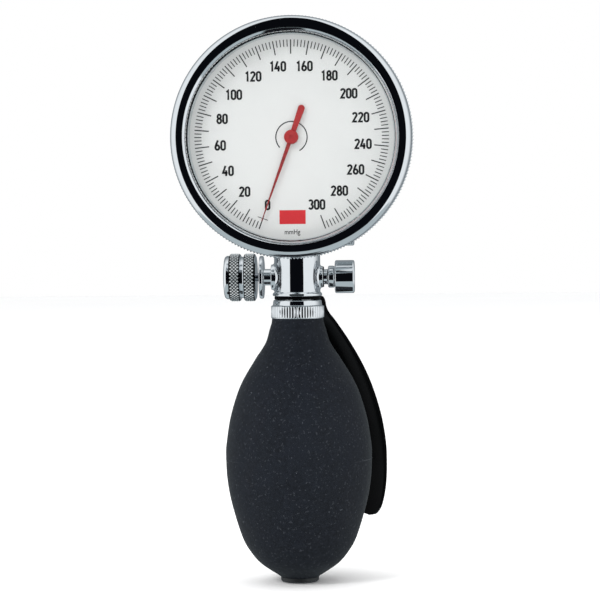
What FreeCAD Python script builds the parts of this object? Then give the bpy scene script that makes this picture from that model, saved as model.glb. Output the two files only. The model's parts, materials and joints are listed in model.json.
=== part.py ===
"""Hand unit of an aneroid blood pressure monitor: gauge, valve body, bleed valve, bulb and palm spoon.

The origin is the centre of the rubber bulb at its widest section. +Z runs up the body axis to the gauge, the dial
faces -Y, the bleed knob points to -X and the hose connectors point to +X. All sizes are in millimetres.
"""

import FreeCAD
import Part
import math
import os

import Sketcher

doc = FreeCAD.newDocument("HandUnit")
sheet = doc.addObject("Spreadsheet::Sheet", "Dims")

DIMENSIONS = {
    # rubber bulb
    "bulb_radius": 22.2,
    "bulb_wall": 2.2,
    "neck_radius": 7.8,
    "neck_top": 41.6,
    "neck_bore": 4.6,
    "base_radius": 5.9,
    "base_bottom": 38.5,
    "tail_bore": 4.5,
    # bulb spigot, ring nut and spoon eye
    "nut_radius": 8.05,
    "nut_top": 47.25,
    "nut_chamfer": 0.7,
    "spigot_thread": 5.0,
    "eye_bearing": 5.25,
    "eye_top": 48.35,
    "chamber_radius": 3.4,
    "seat_height": 44.0,
    "valve_disc_radius": 2.6,
    "valve_disc_thickness": 0.6,
    "valve_lift": 0.4,
    "passage_radius": 1.5,
    # palm spoon
    "spoon_radius": 28.8,
    "spoon_sheet": 1.1,
    "spoon_angle": 45.0,
    "spoon_half_width": 11.2,
    "spoon_arm_half_width": 2.6,
    # valve body
    "body_radius": 7.0,
    "body_bottom": 48.4,
    "body_top": 103.6,
    "bore_radius": 3.0,
    "port_height": 54.1,
    "upper_port_height": 68.5,
    "gauge_height": 95.6,
    # hose connectors
    "connector_neck": 2.3,
    "connector_collar": 3.35,
    "connector_barrel": 5.0,
    "connector_end": 17.4,
    "socket_radius": 3.2,
    "socket_depth": 4.5,
    # bleed valve
    "stem_radius": 2.5,
    "bush_flange": 6.5,
    "bush_face": 11.4,
    "knob_radius": 7.3,
    "knob_inner": 12.4,
    "knob_groove_inner": 16.2,
    "knob_groove_outer": 17.0,
    "knob_outer": 20.6,
    "knob_end": 22.3,
    "spindle_radius": 1.25,
    "running_gap": 0.05,
    # gauge
    "case_back": 8.0,
    "case_floor": 9.5,
    "case_rim": 24.6,
    "case_radius": 33.0,
    "case_inner": 31.3,
    "bezel_radius": 35.3,
    "bezel_grip_radius": 35.8,
    "bezel_back": 20.8,
    "bezel_front": 29.5,
    "bezel_flat_outer": 34.2,
    "bezel_flat_inner": 31.6,
    "window_radius": 30.6,
    "crystal_back": 26.2,
    "crystal_front": 28.0,
    "dial_radius": 31.1,
    "dial_back": 22.6,
    "dial_front": 23.1,
    "dial_hole": 0.9,
    "pointer_reach": 26.2,
    "pointer_tail": 9.9,
    # movement
    "base_plate_back": 16.4,
    "base_plate_radius": 24.0,
    "top_plate_back": 20.9,
    "plate_thickness": 0.8,
    "pin_hole": 0.55,
    "screw_hole": 0.5,
    "arbor_radius": 0.55,
    "gear_module": 0.4,
    "pinion_teeth": 10,
    "sector_wheel_teeth": 80,
    "capsule_radius": 16.0,
}


class Size:
    """A length with its spreadsheet expression, so that sums of sizes stay bound to the sheet."""

    def __init__(self, text, value):
        self.text = text
        self.value = value

    def join(self, sign, other, value):
        return Size(f"({self.text} {sign} {words(other)})", value)

    def __add__(self, other):
        return self.join("+", other, self.value + number(other))

    def __sub__(self, other):
        return self.join("-", other, self.value - number(other))

    def __mul__(self, other):
        return self.join("*", other, self.value * number(other))

    def __truediv__(self, other):
        return self.join("/", other, self.value / number(other))

    def __rsub__(self, other):
        return Size(f"({words(other)} - {self.text})", number(other) - self.value)

    __radd__ = __add__
    __rmul__ = __mul__


def number(size):
    return size.value if isinstance(size, Size) else float(size)


def words(size):
    return size.text if isinstance(size, Size) else repr(float(size))


for row, (alias, value) in enumerate(DIMENSIONS.items(), start=1):
    sheet.set(f"A{row}", alias)
    sheet.set(f"B{row}", str(value))
    sheet.setAlias(f"B{row}", alias)
doc.recompute()


def d(alias):
    return Size(f"Dims.{alias}", float(sheet.get(alias)))


subparts = []


def keep(shape_object, label, placement=None):
    """Registers an object as a sub-part of the assembly, under its node name."""
    shape_object.Label = label
    if placement is not None:
        shape_object.Placement = placement
    subparts.append(shape_object)
    return shape_object


# Frames of the turned parts: their own +Z is the axis that they were turned on.
def along_body(x=0.0, y=0.0):
    return FreeCAD.Placement(FreeCAD.Vector(x, y, 0), FreeCAD.Rotation())


def along_gauge(x=0.0, up=0.0):
    """+Z of the part points out of the dial; x and up are measured from the pointer axis."""
    base = FreeCAD.Vector(x, 0, number(d("gauge_height")) + up)
    return FreeCAD.Placement(base, FreeCAD.Rotation(FreeCAD.Vector(1, 0, 0), 90))


def along_port(height, side):
    """+Z of the part points out of the valve body's side: side 1 is the hose side, -1 the knob side."""
    turn = FreeCAD.Rotation(FreeCAD.Vector(0, 1, 0), 90 * side)
    return FreeCAD.Placement(FreeCAD.Vector(0, 0, number(height)), turn)


def bind(item, **sizes):
    for name, size in sizes.items():
        if isinstance(size, Size):
            item.setExpression(name, size.text)
        else:
            setattr(item, name, size)


def outline_sketch(body, outline, name):
    """A closed outline of straight lines in the body's XZ plane, each corner held by sizes from the sheet."""
    plane = next(item for item in body.Origin.OriginFeatures if item.Role == "XZ_Plane")
    sketch = body.newObject("Sketcher::SketchObject", name)
    sketch.AttachmentSupport = (plane, [""])
    sketch.MapMode = "FlatFace"
    corners = [FreeCAD.Vector(number(r), number(z), 0) for r, z in outline]
    for index, corner in enumerate(corners):
        sketch.addGeometry(Part.LineSegment(corner, corners[(index + 1) % len(corners)]), False)
    for index in range(len(corners)):
        following = (index + 1) % len(corners)
        sketch.addConstraint(Sketcher.Constraint("Coincident", index, 2, following, 1))
    for index, (r, z) in enumerate(outline):
        for kind, axis, size in (("DistanceX", -2, r), ("DistanceY", -1, z)):
            if abs(number(size)) < 1e-9:
                sketch.addConstraint(Sketcher.Constraint("PointOnObject", index, 1, axis))
                continue
            held = sketch.addConstraint(Sketcher.Constraint(kind, -1, 1, index, 1, number(size)))
            if isinstance(size, Size):
                sketch.setExpression(f"Constraints[{held}]", size.text)
    return sketch


def turning(name, outline, placement, rounds=()):
    """A PartDesign body turned about its own Z axis from a closed (radius, height) outline.

    rounds lists (radius, height, fillet) for the circular edges that are rounded.
    """
    body = doc.addObject("PartDesign::Body", name)
    sketch = outline_sketch(body, outline, f"{name}_outline")
    revolution = body.newObject("PartDesign::Revolution", f"{name}_turning")
    revolution.Profile = sketch
    revolution.ReferenceAxis = (sketch, ["V_Axis"])
    revolution.Angle = 360.0
    doc.recompute()
    for order, (radius, height, size) in enumerate(rounds):
        base = body.Tip
        names = []
        for index, edge in enumerate(base.Shape.Edges, start=1):
            if not isinstance(edge.Curve, Part.Circle):
                continue
            level = abs(edge.Curve.Center.z - number(height)) < 1e-4
            if level and abs(edge.Curve.Radius - number(radius)) < 1e-4:
                names.append(f"Edge{index}")
        fillet = body.newObject("PartDesign::Fillet", f"{name}_round_{order}")
        fillet.Base = (base, names)
        bind(fillet, Radius=size)
        doc.recompute()
    body.Placement = placement
    return body


def turned(label, outline, placement, rounds=()):
    return keep(turning(label, outline, placement, rounds), label)


def sleeve(inner, outer, low, high):
    """The outline of a plain ring or tube."""
    return [(inner, low), (outer, low), (outer, high), (inner, high)]


def flat_disc(radius, low, high):
    """The outline of a solid disc."""
    return [(0, low), (radius, low), (radius, high), (0, high)]


def rod(name, radius, low, high, placement):
    """A plain cylinder along the frame's Z from low to high."""
    item = doc.addObject("Part::Cylinder", name)
    bind(item, Radius=radius, Height=high - low)
    item.Placement = placement.multiply(shifted(z=number(low)))
    return item


def block(name, low, high, placement):
    """A plain box between two corners of the frame."""
    item = doc.addObject("Part::Box", name)
    spans = [top - bottom for bottom, top in zip(low, high)]
    bind(item, Length=spans[0], Width=spans[1], Height=spans[2])
    item.Placement = placement.multiply(shifted(*[number(size) for size in low]))
    return item


def shifted(x=0.0, y=0.0, z=0.0):
    return FreeCAD.Placement(FreeCAD.Vector(x, y, z), FreeCAD.Rotation())


def fuse(items, name):
    item = doc.addObject("Part::MultiFuse", name)
    item.Shapes = items
    return item


def cut(base, tools, name):
    item = doc.addObject("Part::Cut", name)
    item.Base = base
    item.Tool = tools[0] if len(tools) == 1 else fuse(tools, f"{name}_cutters")
    return item


def group(items, label):
    """Identical pieces that share one node, as separate solids."""
    item = doc.addObject("Part::Compound", label)
    item.Links = items
    return keep(item, label)


def free_shape(label, shape, placement):
    item = doc.addObject("Part::Feature", label)
    item.Shape = shape
    return keep(item, label, placement)


def extruded(points, low, high):
    corners = [FreeCAD.Vector(x, y, low) for x, y in points]
    face = Part.Face(Part.makePolygon(corners + corners[:1]))
    return face.extrude(FreeCAD.Vector(0, 0, high - low))


UP = along_body()
GAUGE = along_gauge()
HOSE = along_port(d("port_height"), 1)
UPPER_HOSE = along_port(d("upper_port_height"), 1)
BLEED = along_port(d("port_height"), -1)


# ---------------------------------------------------------------- valve body and hose connectors

def make_valve_body():
    """A round column with a domed top, a foot bead, and bored bosses for the valve, hoses and gauge."""
    radius = d("body_radius")
    foot = d("body_bottom")
    column = turning(
        "body_column",
        [(0, foot), (radius + 0.5, foot), (radius + 0.5, foot + 0.7), (radius, foot + 1.2),
         (radius, d("body_top")), (0, d("body_top"))],
        UP,
        rounds=[(radius, d("body_top"), 4.0)],
    )
    bosses = [
        rod("bleed_boss", d("stem_radius") + 1.3, 4.0, radius + 0.5, BLEED),
        rod("lower_hose_boss", d("connector_neck") + 1.3, 4.0, radius + 0.5, HOSE),
        rod("upper_hose_boss", d("connector_neck") + 1.3, 4.0, radius + 0.5, UPPER_HOSE),
        rod("gauge_boss", 5.6, 3.0, d("case_back") - 0.5, GAUGE),
    ]
    bores = [
        rod("spigot_bore", d("spigot_thread"), foot - 1, foot + 2.4, UP),
        rod("main_bore", d("bore_radius"), foot, d("gauge_height") + 2.0, UP),
        rod("bleed_bore", d("stem_radius") - 0.1, 2.0, radius + 2, BLEED),
        rod("lower_hose_bore", d("connector_neck"), 2.0, radius + 2, HOSE),
        rod("upper_hose_bore", d("connector_neck"), 2.0, radius + 2, UPPER_HOSE),
        rod("gauge_bore", d("bore_radius"), 1.0, radius + 2, GAUGE),
    ]
    keep(cut(fuse([column] + bosses, "body_casting"), bores, "valve_body"), "valve_body")


def make_connector(name, frame):
    """A turned stem with a thin neck and a collar, and the plain sleeve that takes the hose nipple."""
    neck = d("connector_neck")
    collar = d("connector_collar")
    passage = d("passage_radius") - 0.3
    end = d("connector_end")
    barrel = d("connector_barrel")
    turned(
        f"{name}_stem",
        [(passage, 4.6), (neck, 4.6), (neck, 9.4), (collar, 9.4), (collar, 11.4), (neck, 11.4), (neck, 12.6),
         (passage, 12.6)],
        frame,
        rounds=[(collar, 9.4, 0.6), (collar, 11.4, 0.6)],
    )
    floor = end - d("socket_depth")
    socket = d("socket_radius")
    sleeve_outline = [(neck, 11.5), (barrel, 11.5), (barrel, end - 0.5), (barrel - 0.5, end), (socket, end),
                      (socket, floor), (neck, floor)]
    turned(f"{name}_sleeve", sleeve_outline, frame, rounds=[(barrel, 11.5, 0.5)])


def make_connector_seals():
    """A flat packing ring under each connector's collar."""
    seals = []
    for name, frame in (("lower", HOSE), ("upper", UPPER_HOSE)):
        outline = sleeve(d("connector_neck"), d("connector_neck") + 0.8, 7.5, 8.1)
        seals.append(turning(f"{name}_seal_ring", outline, frame))
    group(seals, "connector_seals")


# ---------------------------------------------------------------- bleed valve

def make_bleed_valve():
    """A threaded bush with a flange, and the needle, spindle and knob that it guides."""
    stem = d("stem_radius")
    spindle = d("spindle_radius")
    bore = spindle + d("running_gap")
    face = d("bush_face")
    turned(
        "bleed_bush",
        [(bore, 3.2), (stem - 0.1, 3.2), (stem - 0.1, 7.5), (stem, 7.5), (stem, face - 1.2),
         (d("bush_flange"), face - 1.2), (d("bush_flange"), face), (2.1, face), (2.1, face - 0.9),
         (bore, face - 0.9)],
        BLEED,
        rounds=[(d("bush_flange"), face - 1.2, 0.4), (d("bush_flange"), face, 0.4)],
    )
    turned("bleed_packing", sleeve(bore, 2.1, face - 0.9, face - 0.1), BLEED)
    needle = spindle - 0.15
    turned("bleed_needle", [(0, 1.2), (0.3, 1.2), (needle, 3.0), (needle, 6.0), (0, 6.0)], BLEED)
    inner = d("knob_inner")
    outer = d("knob_outer")
    turned("bleed_spindle", [(0, 6.05), (spindle, 6.05), (spindle, outer - 2.0), (0, outer - 2.0)], BLEED)
    knob = d("knob_radius")
    waist = knob - 1.0
    knob_outline = [
        (spindle, inner), (waist, inner), (knob, inner + 0.4), (knob, d("knob_groove_inner") - 0.3),
        (waist, d("knob_groove_inner")), (waist, d("knob_groove_outer")), (knob, d("knob_groove_outer") + 0.3),
        (knob, outer - 0.3), (waist, outer), (5.2, outer), (5.2, outer - 2.0), (spindle, outer - 2.0),
    ]
    turned("bleed_knob", knob_outline, BLEED)
    turned(
        "knob_cap",
        [(0, outer - 2.0), (5.2, outer - 2.0), (5.2, outer), (6.6, outer), (6.6, d("knob_end")), (0, d("knob_end"))],
        BLEED,
        rounds=[(6.6, d("knob_end"), 1.2)],
    )


# ---------------------------------------------------------------- bulb, its valves, ring nut and spoon

def make_spigot():
    """The threaded nipple that carries the bulb's neck, with the delivery valve's chamber and seat inside."""
    neck = d("neck_bore")
    passage = d("passage_radius")
    seat = d("seat_height")
    chamber = d("chamber_radius")
    turned(
        "bulb_spigot",
        [(passage, 32.0), (neck - 0.6, 32.0), (neck, 33.2), (neck, d("neck_top")), (d("spigot_thread"), d("neck_top")),
         (d("spigot_thread"), d("nut_top")), (d("eye_bearing"), d("nut_top")), (d("eye_bearing"), d("body_bottom")),
         (d("spigot_thread"), d("body_bottom")), (d("spigot_thread"), d("body_bottom") + 2.4),
         (chamber, d("body_bottom") + 2.4), (chamber, seat), (passage, seat)],
        UP,
    )


def valve_cage(label, outer, hole, low):
    """A thin washer with three side openings that stops a valve disc at the end of its lift."""
    plate = turning(f"{label}_plate", sleeve(hole, outer, low, low + 0.7), UP)
    slots = []
    for turn in range(3):
        spin = FreeCAD.Placement(FreeCAD.Vector(), FreeCAD.Rotation(FreeCAD.Vector(0, 0, 1), 120 * turn))
        slots.append(block(f"{label}_slot", (0.8, -0.6, low - 0.2), (outer - 0.7, 0.6, low + 0.9), spin))
    keep(cut(plate, slots, label), label)


def make_bulb_valves():
    """The delivery valve in the spigot and the inlet valve in the bulb's tail, each a disc under a cage."""
    thickness = d("valve_disc_thickness")
    lift = d("valve_lift")
    disc = d("valve_disc_radius")
    seat = d("seat_height")
    turned("delivery_disc", flat_disc(disc, seat + 0.02, seat + thickness), UP)
    valve_cage("delivery_cage", d("chamber_radius"), 0.6, seat + thickness + lift + 0.05)
    bottom = 0 - d("base_bottom")
    tail = d("tail_bore")
    room = tail - 1.1
    floor = bottom + 5.0
    turned(
        "inlet_valve_body",
        [(1.5, bottom + 0.9), (3.0, bottom + 0.9), (3.0, bottom), (d("base_radius") - 0.1, bottom),
         (d("base_radius") - 0.1, bottom + 1.4), (tail, bottom + 1.4), (tail, bottom + 8.0), (room, bottom + 8.0),
         (room, floor), (1.5, floor)],
        UP,
        rounds=[(d("base_radius") - 0.1, bottom, 0.5)],
    )
    turned("inlet_filter", flat_disc(3.0, bottom + 0.1, bottom + 0.9), UP)
    turned("inlet_disc", flat_disc(disc, floor + 0.02, floor + thickness), UP)
    valve_cage("inlet_cage", room, 0.6, floor + thickness + lift + 0.05)


def spline(points):
    curve = Part.BSplineCurve()
    curve.interpolate([FreeCAD.Vector(x, 0, z) for x, z in points])
    return curve.toShape()


def line(start, end):
    return Part.LineSegment(FreeCAD.Vector(start[0], 0, start[1]), FreeCAD.Vector(end[0], 0, end[1])).toShape()


def make_bulb():
    """A hollow rubber bulb: pear-shaped outside, with a neck bore for the spigot and a tail bore for the inlet."""
    widest = number(d("bulb_radius"))
    wall = number(d("bulb_wall"))
    neck = number(d("neck_radius"))
    top = number(d("neck_top"))
    foot = number(d("base_radius"))
    bottom = -number(d("base_bottom")) + 1.4
    outside = [(neck, top), (0.385 * widest, 38.3), (0.43 * widest, 34.8), (0.495 * widest, 32.2),
               (0.592 * widest, 29.0), (0.79 * widest, 21.4), (0.925 * widest, 12.4), (0.99 * widest, 4.0),
               (widest, 0.0), (0.985 * widest, -7.0), (0.925 * widest, -14.6), (0.79 * widest, -24.6),
               (0.67 * widest, -29.5), (0.525 * widest, -33.1), (foot + 0.6, -36.6), (foot, bottom)]
    bore = number(d("neck_bore"))
    tail = number(d("tail_bore"))
    inside = [(bore, 31.0), (0.5 * widest - wall * 0.4, 28.2), (0.79 * widest - wall, 20.4),
              (0.925 * widest - wall, 11.8), (widest - wall, 0.0), (0.925 * widest - wall, -14.0),
              (0.79 * widest - wall, -23.6), (0.5 * widest - wall, -30.0), (tail, -31.5)]
    edges = [spline(outside), line(outside[-1], (tail, bottom)), line((tail, bottom), inside[-1]), spline(inside),
             line(inside[0], (bore, top)), line((bore, top), outside[0])]
    face = Part.Face(Part.Wire(Part.__sortEdges__(edges)))
    solid = face.revolve(FreeCAD.Vector(), FreeCAD.Vector(0, 0, 1), 360)
    free_shape("bulb", Part.Solid(solid) if solid.ShapeType == "Shell" else solid, UP)


def make_ring_nut():
    """The ring nut that clamps the bulb's neck; its rim carries shallow flutes."""
    radius = d("nut_radius")
    top = d("nut_top") - 0.05
    blank = turning(
        "ring_nut_blank",
        [(d("spigot_thread"), d("neck_top")), (radius, d("neck_top")), (radius, top - d("nut_chamfer")),
         (radius - d("nut_chamfer"), top), (d("spigot_thread"), top)],
        UP,
        rounds=[(radius, d("neck_top"), 0.3)],
    )
    flutes = []
    flute_count = 36
    for step in range(flute_count):
        angle = 2 * math.pi * step / flute_count
        spot = shifted(number(radius + 0.16) * math.cos(angle), number(radius + 0.16) * math.sin(angle))
        flutes.append(rod("flute", 0.4, d("neck_top") + 0.6, top - 1.0, spot))
    keep(cut(blank, flutes, "ring_nut"), "ring_nut")


def make_spoon():
    """The palm spoon: an eye on the spigot, a narrow arm and a wide leaf that follows the bulb's back."""
    widest = number(d("spoon_radius"))
    sheet_metal = number(d("spoon_sheet"))
    eye_low = number(d("nut_top")) + 0.05
    eye_high = number(d("eye_top")) - 0.05
    outside = [(7.2, eye_high), (8.6, eye_high - 0.3), (9.4, 46.6), (9.75, 44.9), (10.8, 43.0), (13.6, 39.6),
               (18.8, 31.0), (23.4, 21.6), (26.6, 11.9), (28.2, 3.0), (widest, -4.0), (29.5, -12.2), (30.3, -21.0)]
    inside = []
    for index, (r, z) in enumerate(outside):
        ahead = outside[min(index + 1, len(outside) - 1)]
        behind = outside[max(index - 1, 0)]
        run = math.hypot(ahead[0] - behind[0], ahead[1] - behind[1])
        inside.append((r + sheet_metal * (ahead[1] - behind[1]) / run, z - sheet_metal * (ahead[0] - behind[0]) / run))
    edges = [spline(outside), line(outside[-1], inside[-1]), spline(inside), line(inside[0], outside[0])]
    face = Part.Face(Part.Wire(Part.__sortEdges__(edges)))
    span = 100.0
    face.rotate(FreeCAD.Vector(), FreeCAD.Vector(0, 0, 1), -span / 2)
    shell = face.revolve(FreeCAD.Vector(), FreeCAD.Vector(0, 0, 1), span)
    arm = number(d("spoon_arm_half_width"))
    leaf = number(d("spoon_half_width"))
    half = [(arm, 50.0), (arm + 0.1, 45.0), (arm + 1.0, 40.0), (arm + 3.4, 34.0), (leaf - 2.4, 25.0),
            (leaf - 0.3, 10.0), (leaf, 0.0), (leaf - 1.6, -9.0), (leaf - 5.0, -16.6), (leaf - 8.4, -20.2),
            (0.0, -21.0)]
    curve = Part.BSplineCurve()
    curve.interpolate([FreeCAD.Vector(0, y, z) for y, z in half])
    other = Part.BSplineCurve()
    other.interpolate([FreeCAD.Vector(0, -y, z) for y, z in half])
    top = Part.LineSegment(FreeCAD.Vector(0, arm, 50.0), FreeCAD.Vector(0, -arm, 50.0)).toShape()
    outline = Part.Wire(Part.__sortEdges__([curve.toShape(), other.toShape(), top]))
    prism = Part.Face(outline).extrude(FreeCAD.Vector(40, 0, 0))
    blade = shell.common(prism)
    eye = Part.makeCylinder(7.6, eye_high - eye_low, FreeCAD.Vector(0, 0, eye_low))
    eye = eye.cut(Part.makeCylinder(number(d("eye_bearing") + d("running_gap")), 4, FreeCAD.Vector(0, 0, eye_low - 1)))
    spoon = eye.fuse(blade).removeSplitter()
    turn = FreeCAD.Placement(FreeCAD.Vector(), FreeCAD.Rotation(FreeCAD.Vector(0, 0, 1), number(d("spoon_angle"))))
    free_shape("palm_spoon", spoon, turn)


# ---------------------------------------------------------------- gauge case, window and dial

def make_gauge_case():
    back = d("case_back")
    turned(
        "gauge_case",
        [(d("bore_radius"), back), (d("case_radius"), back), (d("case_radius"), d("case_rim")),
         (d("case_inner"), d("case_rim")), (d("case_inner"), d("case_floor")), (d("bore_radius"), d("case_floor"))],
        GAUGE,
        rounds=[(d("case_radius"), back, 4.0), (d("case_inner"), d("case_floor"), 2.0)],
    )
    turned("union_seal", sleeve(d("bore_radius"), 5.2, back - 0.5, back), GAUGE)
    turned(
        "gauge_union",
        [(1.2, 3.4), (d("bore_radius"), 3.4), (d("bore_radius"), d("case_floor")), (5.0, d("case_floor")),
         (5.0, d("case_floor") + 0.5), (1.2, d("case_floor") + 0.5)],
        GAUGE,
    )


def make_bezel():
    """The snap-on rim: a flat front ring, a bevel down to the window and a slightly wider grip band at the back."""
    radius = d("bezel_radius")
    back = d("bezel_back")
    front = d("bezel_front")
    grip = d("bezel_grip_radius")
    turned(
        "bezel",
        [(d("case_radius"), back), (grip - 0.4, back), (grip, back + 0.4), (grip, back + 2.8),
         (radius, back + 3.3), (radius, front),
         (d("bezel_flat_inner"), front), (d("window_radius"), front - 1.0),
         (d("window_radius"), d("crystal_front")), (d("case_radius"), d("crystal_front"))],
        GAUGE,
        rounds=[(radius, front, radius - d("bezel_flat_outer"))],
    )


def make_window():
    glass = d("case_radius") - 0.05
    turned("crystal", flat_disc(glass, d("crystal_back"), d("crystal_front")), GAUGE)
    turned("crystal_gasket", sleeve(d("case_inner"), glass, d("case_rim"), d("crystal_back")), GAUGE)
    turned("dial_ring", sleeve(30.0, d("case_inner") - 0.1, d("dial_front"), 25.4), GAUGE)
    turned("dial_seat", sleeve(29.8, d("case_inner"), d("dial_back") - 4.0, d("dial_back")), GAUGE)
    turned("dial", sleeve(d("dial_hole"), d("dial_radius"), d("dial_back"), d("dial_front")), GAUGE)


# ---------------------------------------------------------------- movement

PIVOT = (-5.0, 17.3)
REST_TURN = 20.0
ZERO_ANGLE = -110.0


def gear_points(teeth, radius, root, tip, half_pitch_width, half_tip_width, first, count):
    """Tooth corners around a wheel: root, pitch and tip on each flank. Widths are shares of one tooth pitch."""
    step = 2 * math.pi / teeth
    points = []
    for index in range(count):
        middle = first + index * step
        flank = [(root, -half_pitch_width), (radius, -half_pitch_width), (tip, -half_tip_width),
                 (tip, half_tip_width), (radius, half_pitch_width), (root, half_pitch_width)]
        for reach, share in flank:
            angle = middle + share * step
            points.append((reach * math.cos(angle), reach * math.sin(angle)))
    return points


def make_gears():
    """The pinion on the pointer's arbor and the sector that drives it, in mesh at rest."""
    module = number(d("gear_module"))
    teeth = int(number(d("pinion_teeth")))
    wheel_teeth = int(number(d("sector_wheel_teeth")))
    pinion_radius = module * teeth / 2
    wheel_radius = module * wheel_teeth / 2
    towards_pivot = math.atan2(PIVOT[1], PIVOT[0])
    outline = gear_points(teeth, pinion_radius, pinion_radius - 1.25 * module, pinion_radius + 0.85 * module,
                          0.17, 0.07, towards_pivot, teeth)
    arbor_radius = number(d("arbor_radius"))
    pinion = extruded(outline, 17.5, 19.0)
    arbor = Part.makeCylinder(arbor_radius, 24.9 - 16.5, FreeCAD.Vector(0, 0, 16.5))
    collet = Part.makeCylinder(0.9, 1.0, FreeCAD.Vector(0, 0, 19.3))
    free_shape("pinion_arbor", pinion.fuse([arbor, collet]).removeSplitter(), GAUGE)

    towards_pinion = math.atan2(-PIVOT[1], -PIVOT[0])
    pitch = 2 * math.pi / wheel_teeth
    count = 13
    first = towards_pinion - (count - 2.5) * pitch
    teeth_outline = gear_points(wheel_teeth, wheel_radius, wheel_radius - 1.25 * module,
                                wheel_radius + 0.85 * module, 0.22, 0.08, first, count)
    blade = extruded([(0.0, 0.0)] + teeth_outline, 17.9, 18.7)
    hub = Part.makeCylinder(2.4, 0.8, FreeCAD.Vector(0, 0, 17.9))
    shaft = Part.makeCylinder(0.5, 21.6 - 16.5, FreeCAD.Vector(0, 0, 16.5))
    tail_x = TAIL_PIN_REACH * math.cos(TAIL_PIN_ANGLE)
    tail_y = TAIL_PIN_REACH * math.sin(TAIL_PIN_ANGLE)
    tail = Part.makeCylinder(0.3, 0.9, FreeCAD.Vector(tail_x, tail_y, 18.7))
    sector = blade.fuse([hub, shaft, tail]).removeSplitter()
    free_shape("sector_gear", sector, along_gauge(PIVOT[0], PIVOT[1]))


ROCKER_DEPTH = 14.9
TAIL_PIN_REACH = 1.43
TAIL_PIN_ANGLE = math.atan2(-PIVOT[1], -PIVOT[0]) + math.pi - math.radians(REST_TURN)
FORK_LOW = 19.05
FORK_HIGH = 19.45


def rocker_line():
    """The frame whose +Z runs up along the rocking shaft."""
    upright = FreeCAD.Placement(FreeCAD.Vector(0, 0, ROCKER_DEPTH), FreeCAD.Rotation(FreeCAD.Vector(1, 0, 0), -90))
    return along_gauge(PIVOT[0], 0).multiply(upright)


def make_rocking_shaft():
    """The shaft that the capsule tips: an input finger over the post and a fork round the sector's tail pin."""
    shaft = rod("rocker_rod", 0.5, -2.45, 21.95, rocker_line())
    frame = along_gauge(PIVOT[0], 0)
    pin_x = TAIL_PIN_REACH * math.cos(TAIL_PIN_ANGLE)
    pin_y = PIVOT[1] + TAIL_PIN_REACH * math.sin(TAIL_PIN_ANGLE)
    outer_edge, prong_edge = 1.0, 0.55

    def fork_bar(name, left_x, low_y, right_x, high_y):
        low = (pin_x + left_x, pin_y + low_y, FORK_LOW)
        high = (pin_x + right_x, pin_y + high_y, FORK_HIGH)
        return block(name, low, high, frame)

    finger = block("rocker_finger", (0.0, -0.6, 14.65), (5.5, 0.6, 15.15), frame)
    mast = block("rocker_mast", (-0.4, pin_y + 1.0, 14.6), (0.4, pin_y + 1.6, FORK_HIGH), frame)
    bridge = fork_bar("fork_bridge", -outer_edge, 0.8, outer_edge, 1.4)
    left = fork_bar("fork_left", -outer_edge, -0.4, -prong_edge, 1.0)
    right = fork_bar("fork_right", prong_edge, -0.4, outer_edge, 1.0)
    keep(fuse([shaft, finger, mast, bridge, left, right], "rocking_shaft"), "rocking_shaft")


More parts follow.
